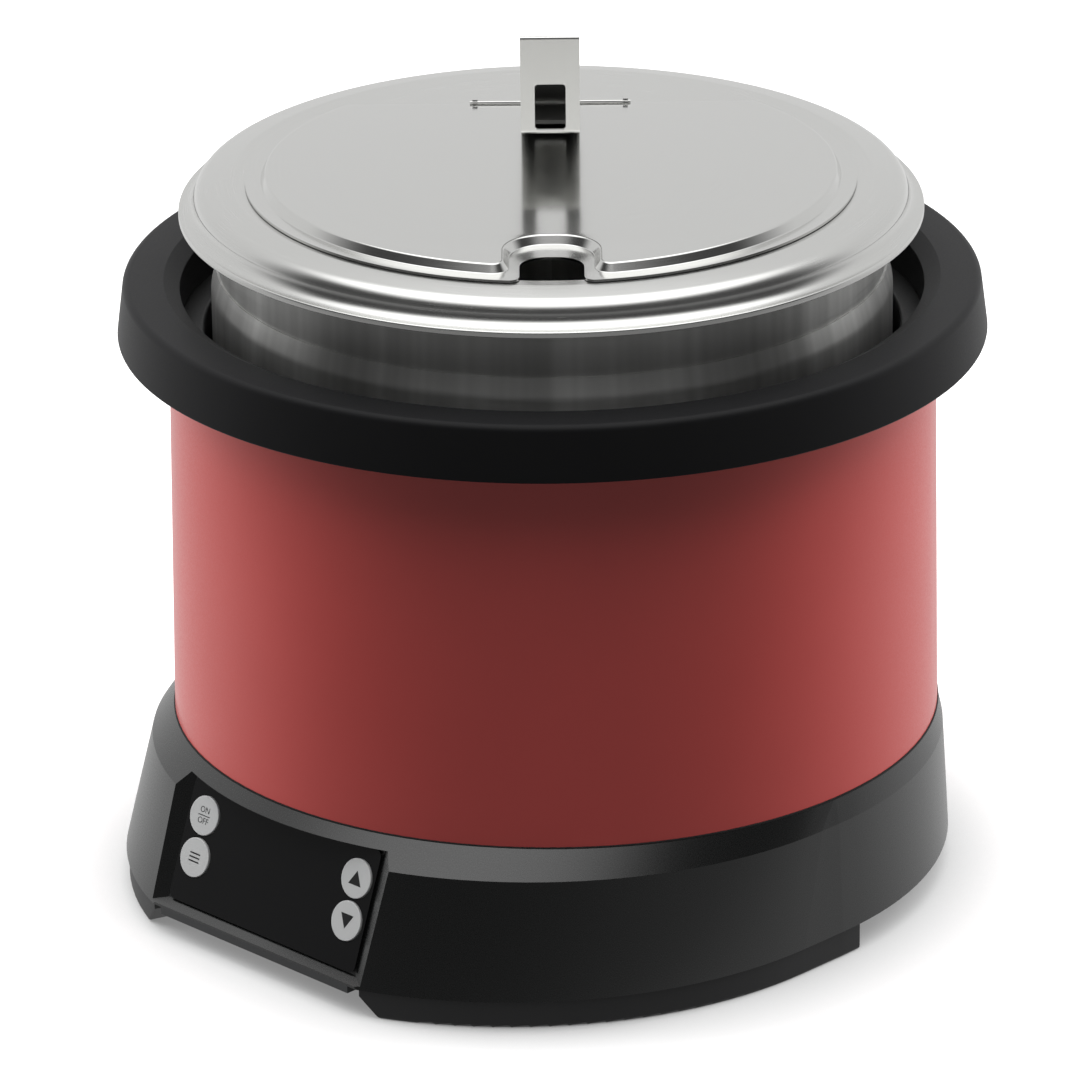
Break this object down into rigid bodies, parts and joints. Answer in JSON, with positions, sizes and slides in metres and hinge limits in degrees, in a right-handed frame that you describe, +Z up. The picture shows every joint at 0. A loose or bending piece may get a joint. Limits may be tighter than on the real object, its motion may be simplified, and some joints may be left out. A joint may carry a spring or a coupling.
{
  "type": "induction rethermalizer",
  "caption": "Countertop induction soup warmer: stainless pot with a hinged, notched lid in a red drum with a black grip ring, on a black flared base with a sloped key panel.",
  "frame": {"origin": "on the well's upright axis at the level of the feet's undersides", "axes": "+Z up; -Y towards the lid's ladle notch; the key panel faces halfway between -X and -Y"},
  "size_m": [0.3441, 0.3441, 0.3523],
  "materials": {
    "housing_plastic": "satin black moulded plastic",
    "pan_paint": "black painted sheet",
    "foot_plastic": "matt black moulded plastic",
    "screw_steel": "plain steel",
    "overlay_gloss": "glossy black film",
    "key_silver": "light silver grey",
    "board_laminate": "green circuit laminate",
    "switch_plastic": "black plastic",
    "display_dark": "dark smoked face",
    "shell_red": "satin metallic red",
    "ring_plastic": "matt black moulded plastic",
    "gasket_rubber": "black rubber",
    "well_plastic": "dark grey heat-resistant plastic",
    "pad_rubber": "grey silicone",
    "ferrite": "dark grey ferrite",
    "inner_plastic": "black plastic",
    "coil_copper": "lacquered copper wire",
    "insulation": "white insulation board",
    "sensor_metal": "plain aluminium",
    "spring_steel": "spring steel",
    "sink_aluminium": "extruded aluminium",
    "capacitor_sleeve": "dark blue sleeve",
    "choke_core": "lacquered core",
    "rotor_plastic": "black plastic",
    "gland_plastic": "black nylon",
    "inset_steel": "satin stainless steel",
    "lid_steel": "satin stainless steel",
    "door_steel": "polished stainless steel",
    "wire_steel": "bright stainless wire",
    "handle_steel": "satin stainless strip"
  },
  "bodies": {
    "unit": {"base_housing": "housing_plastic", "base_pan": "pan_paint", "foot_arcs": "foot_plastic", "pan_screws": "screw_steel", "control_overlay": "overlay_gloss", "control_board": "board_laminate", "key_switches": "switch_plastic", "display_module": "display_dark", "board_screws": "screw_steel", "outer_shell": "shell_red", "top_ring": "ring_plastic", "ring_gasket": "gasket_rubber", "well_liner": "well_plastic", "well_screws": "screw_steel", "rest_pads": "pad_rubber", "ferrite_bars": "ferrite", "coil_carrier": "inner_plastic", "induction_coil": "coil_copper", "insulation_disc": "insulation", "sensor_holder": "inner_plastic", "sensor_spring": "spring_steel", "power_board": "board_laminate", "heat_sink": "sink_aluminium", "capacitors": "capacitor_sleeve", "filter_choke": "choke_core", "fan_frame": "inner_plastic", "cord_gland": "gland_plastic", "gland_nut": "gland_plastic"},
    "inset": {"inset": "inset_steel"},
    "lid": {"lid_frame": "lid_steel", "hinge_wire": "wire_steel", "wire_clips": "wire_steel"},
    "door": {"lid_door": "door_steel", "handle_strap": "handle_steel"},
    "power_key": {"button_power": "key_silver"},
    "function_key": {"button_function": "key_silver"},
    "up_key": {"button_up": "key_silver"},
    "down_key": {"button_down": "key_silver"},
    "fan": {"fan_rotor": "rotor_plastic"},
    "sensor": {"sensor_plunger": "sensor_metal"}
  },
  "joints": [
    {"name": "inset_lift", "type": "slide", "parent": "unit", "child": "inset", "axis": [0, 0, 1], "range_m": [0, 0.25]},
    {"name": "lid_lift", "type": "slide", "parent": "inset", "child": "lid", "axis": [0, 0, 1], "range_m": [0, 0.12]},
    {"name": "door_hinge", "type": "hinge", "parent": "lid", "child": "door", "pos_m": [0, 0.0698, 0.29286], "axis": [-1, 0, 0], "range_deg": [0, 105]},
    {"name": "power_press", "type": "slide", "parent": "unit", "child": "power_key", "axis": [0.6653, 0.6653, -0.3387], "range_m": [0, 0.0007], "stiffness_N_per_m": 800, "springref_m": -0.001},
    {"name": "function_press", "type": "slide", "parent": "unit", "child": "function_key", "axis": [0.6653, 0.6653, -0.3387], "range_m": [0, 0.0007], "stiffness_N_per_m": 800, "springref_m": -0.001},
    {"name": "up_press", "type": "slide", "parent": "unit", "child": "up_key", "axis": [0.6653, 0.6653, -0.3387], "range_m": [0, 0.0007], "stiffness_N_per_m": 800, "springref_m": -0.001},
    {"name": "down_press", "type": "slide", "parent": "unit", "child": "down_key", "axis": [0.6653, 0.6653, -0.3387], "range_m": [0, 0.0007], "stiffness_N_per_m": 800, "springref_m": -0.001},
    {"name": "fan_spin", "type": "hinge", "parent": "unit", "child": "fan", "pos_m": [0.03535, 0.03535, 0.0265], "axis": [0, 0, 1], "continuous": true},
    {"name": "sensor_press", "type": "slide", "parent": "unit", "child": "sensor", "axis": [0, 0, 1], "range_m": [-0.002, 0], "stiffness_N_per_m": 400, "springref_m": 0.002, "deforming": ["sensor_spring"]}
  ]
}
